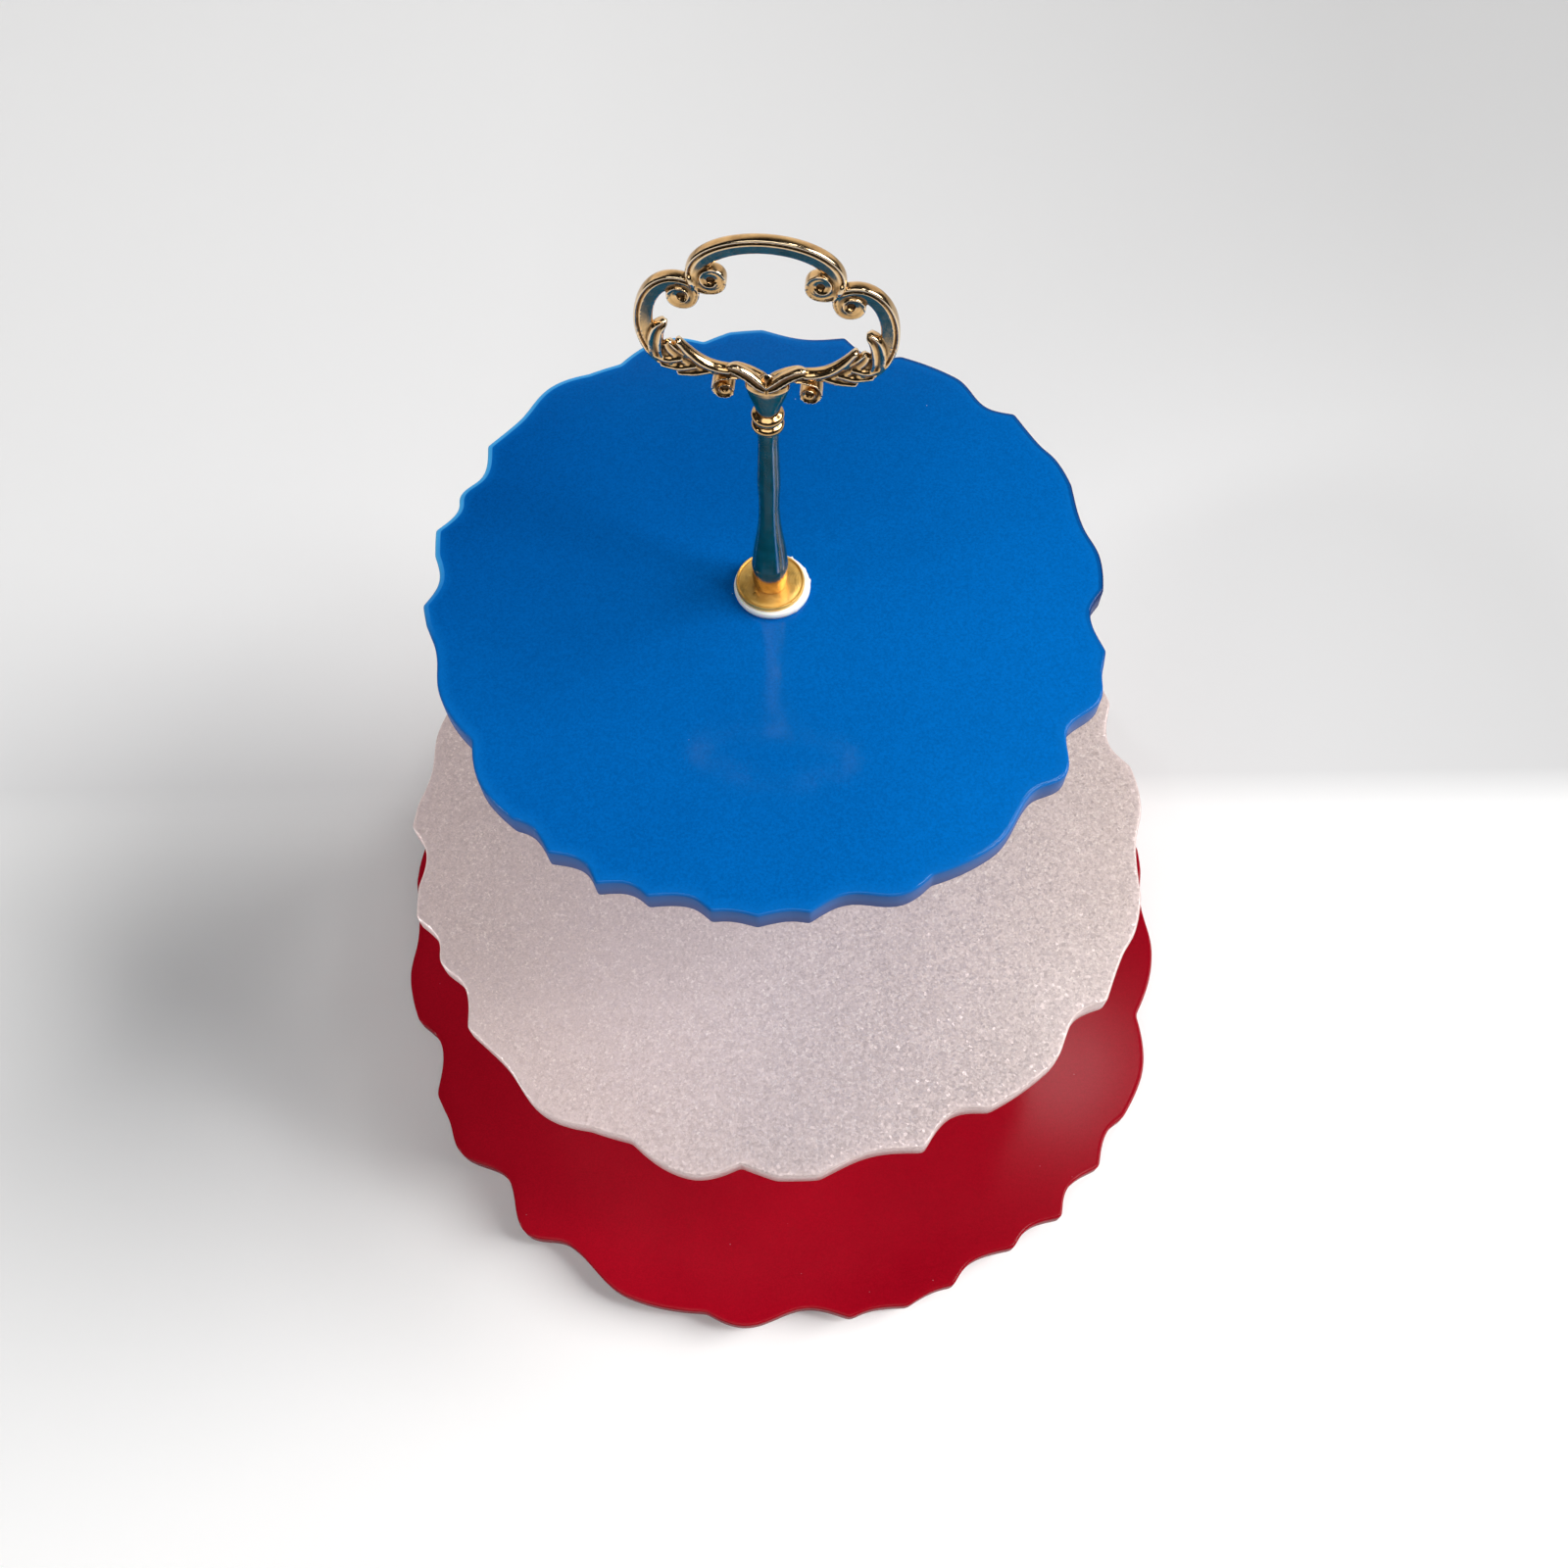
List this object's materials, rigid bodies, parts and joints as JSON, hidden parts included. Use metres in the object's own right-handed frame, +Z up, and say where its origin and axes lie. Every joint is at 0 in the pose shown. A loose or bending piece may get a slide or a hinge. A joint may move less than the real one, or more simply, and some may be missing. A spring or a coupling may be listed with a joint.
{
  "type": "tiered cake stand",
  "caption": "Round wavy-edged serving boards stacked on a screwed turned column, with a scrolled loop handle on top and rubber feet below.",
  "frame": {"origin": "middle of the bottom board's footprint, on the table plane; the column's axis stands at x -2.5 mm, y -4 mm", "axes": "+Z up along the column, -Y to the front and +X to the right of someone facing the loop of the handle"},
  "size_m": [0.3432, 0.355, 0.4303],
  "materials": {
    "red_resin": "gloss cast resin, tinted red",
    "pearl_resin": "cast resin with pearl glitter",
    "blue_resin": "gloss cast resin, tinted blue",
    "gold_metal": "polished gold plate",
    "steel": "zinc-plated steel",
    "white_plastic": "satin white plastic",
    "black_rubber": "moulded rubber"
  },
  "bodies": {
    "base": {"bottom_board": "red_resin", "foot_1": "black_rubber", "foot_2": "black_rubber", "foot_3": "black_rubber", "foot_4": "black_rubber"},
    "base_fixing": {"base_screw": "steel", "base_washer": "steel", "bottom_lower_pad": "white_plastic", "bottom_upper_pad": "white_plastic"},
    "lower_washer": {"lower_washer": "gold_metal"},
    "lower_column": {"lower_rod": "gold_metal", "lower_stud": "steel", "middle_lower_pad": "white_plastic"},
    "middle_board": {"middle_board": "pearl_resin"},
    "middle_washer": {"middle_washer": "gold_metal", "middle_upper_pad": "white_plastic"},
    "upper_column": {"upper_rod": "gold_metal", "upper_stud": "steel", "top_lower_pad": "white_plastic"},
    "top_board": {"top_board": "blue_resin"},
    "top_washer": {"top_washer": "gold_metal", "top_upper_pad": "white_plastic"},
    "handle": {"handle": "gold_metal"}
  },
  "joints": [
    {"name": "column_swivel", "type": "hinge", "parent": "base", "child": "base_fixing", "pos_m": [-0.0025, -0.004, 0.008], "axis": [0, 0, 1], "continuous": true},
    {"name": "lower_rod_turn", "type": "hinge", "parent": "base_fixing", "child": "lower_washer", "pos_m": [-0.0025, -0.004, 0.0205], "axis": [0, 0, 1], "range_deg": [0, 3600]},
    {"name": "lower_rod_rise", "type": "slide", "parent": "lower_washer", "child": "lower_column", "axis": [0, 0, 1], "range_m": [0, 0.01]},
    {"name": "middle_board_swivel", "type": "hinge", "parent": "lower_column", "child": "middle_board", "pos_m": [-0.0025, -0.004, 0.1531], "axis": [0, 0, 1], "continuous": true},
    {"name": "upper_rod_turn", "type": "hinge", "parent": "lower_column", "child": "middle_washer", "pos_m": [-0.0025, -0.004, 0.1614], "axis": [0, 0, 1], "range_deg": [0, 3600]},
    {"name": "upper_rod_rise", "type": "slide", "parent": "middle_washer", "child": "upper_column", "axis": [0, 0, 1], "range_m": [0, 0.01]},
    {"name": "top_board_swivel", "type": "hinge", "parent": "upper_column", "child": "top_board", "pos_m": [-0.0025, -0.004, 0.294], "axis": [0, 0, 1], "continuous": true},
    {"name": "handle_turn", "type": "hinge", "parent": "upper_column", "child": "top_washer", "pos_m": [-0.0025, -0.004, 0.3023], "axis": [0, 0, 1], "range_deg": [0, 3600]},
    {"name": "handle_rise", "type": "slide", "parent": "top_washer", "child": "handle", "axis": [0, 0, 1], "range_m": [0, 0.01]}
  ],
  "couplings": [
    {"joint": "lower_rod_turn", "follows": "lower_rod_rise", "rad_per_m": 6283.2},
    {"joint": "upper_rod_turn", "follows": "upper_rod_rise", "rad_per_m": 6283.2},
    {"joint": "handle_turn", "follows": "handle_rise", "rad_per_m": 6283.2}
  ]
}
